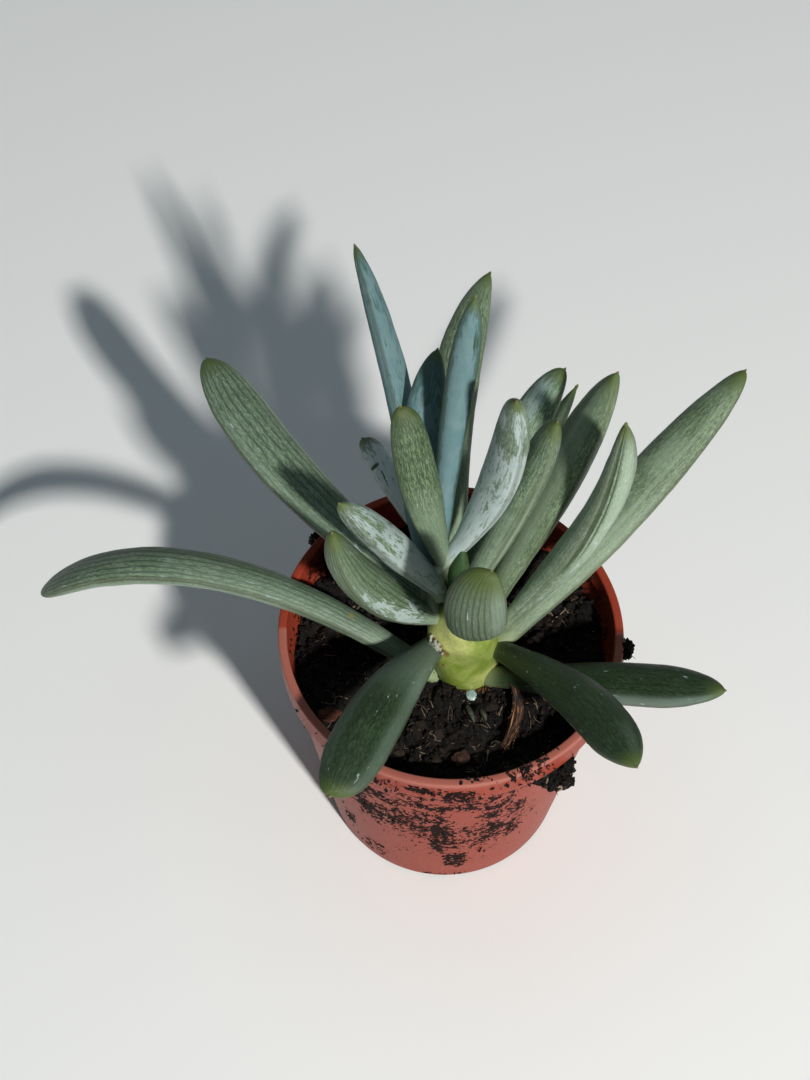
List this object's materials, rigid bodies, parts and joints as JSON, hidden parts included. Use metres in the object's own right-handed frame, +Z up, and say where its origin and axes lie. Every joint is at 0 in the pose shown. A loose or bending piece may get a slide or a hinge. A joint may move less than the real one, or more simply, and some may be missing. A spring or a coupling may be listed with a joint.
{
  "type": "potted senecio ficoides",
  "caption": "Finger-leaved succulent with long fleshy waxy blades on a short thick stem, growing in peat in a tapered plastic nursery pot.",
  "frame": {"origin": "middle of the pot's underside, on the face that it rests on", "axes": "+Z up along the pot's axis, +X to the right and +Y away from the viewer as the plant is seen from the front, where the far left leaf points to -X"},
  "size_m": [0.1776, 0.1393, 0.1625],
  "materials": {
    "pot_plastic": "moulded terracotta-coloured plastic with a soft sheen and smears of soil",
    "peat": "rough dark crumbly peat",
    "stem_skin": "smooth yellow-green living stem with scars",
    "leaf_skin": "blue-green fleshy leaf with a rubbed whitish wax bloom and fine lengthwise lines",
    "withered_skin": "dry brown fibrous leaf remnant",
    "perlite": "chalky white expanded mineral",
    "bark": "rough brown bark"
  },
  "bodies": {
    "root": {"pot": "pot_plastic", "soil": "peat", "stem": "stem_skin", "leaf_front_stub": "leaf_skin", "leaf_centre_waxy": "leaf_skin", "leaf_centre_upright": "leaf_skin", "leaf_right_inner": "leaf_skin", "leaf_inner_left_striped": "leaf_skin", "leaf_inner_left_waxy": "leaf_skin", "leaf_right_grooved": "leaf_skin", "leaf_front_left": "leaf_skin", "leaf_front_right": "leaf_skin", "leaf_far_right": "leaf_skin", "leaf_low_right": "leaf_skin", "leaf_far_left": "leaf_skin", "leaf_upper_left": "leaf_skin", "leaf_back_waxy": "leaf_skin", "leaf_back_shaded": "leaf_skin", "leaf_back_tallest": "leaf_skin", "leaf_back_left_tall": "leaf_skin", "leaf_back_left_small": "leaf_skin", "leaf_right_tall": "leaf_skin", "leaf_back_right": "leaf_skin", "leaf_back_right_small": "leaf_skin", "leaf_heart": "leaf_skin", "withered_leaf": "withered_skin", "peat_clump_band": "peat", "peat_crumb_rim_right": "peat", "peat_crumb_rim_left": "peat", "perlite_grain": "perlite", "bark_chip_left": "bark", "bark_chip_front": "bark"}
  },
  "joints": []
}
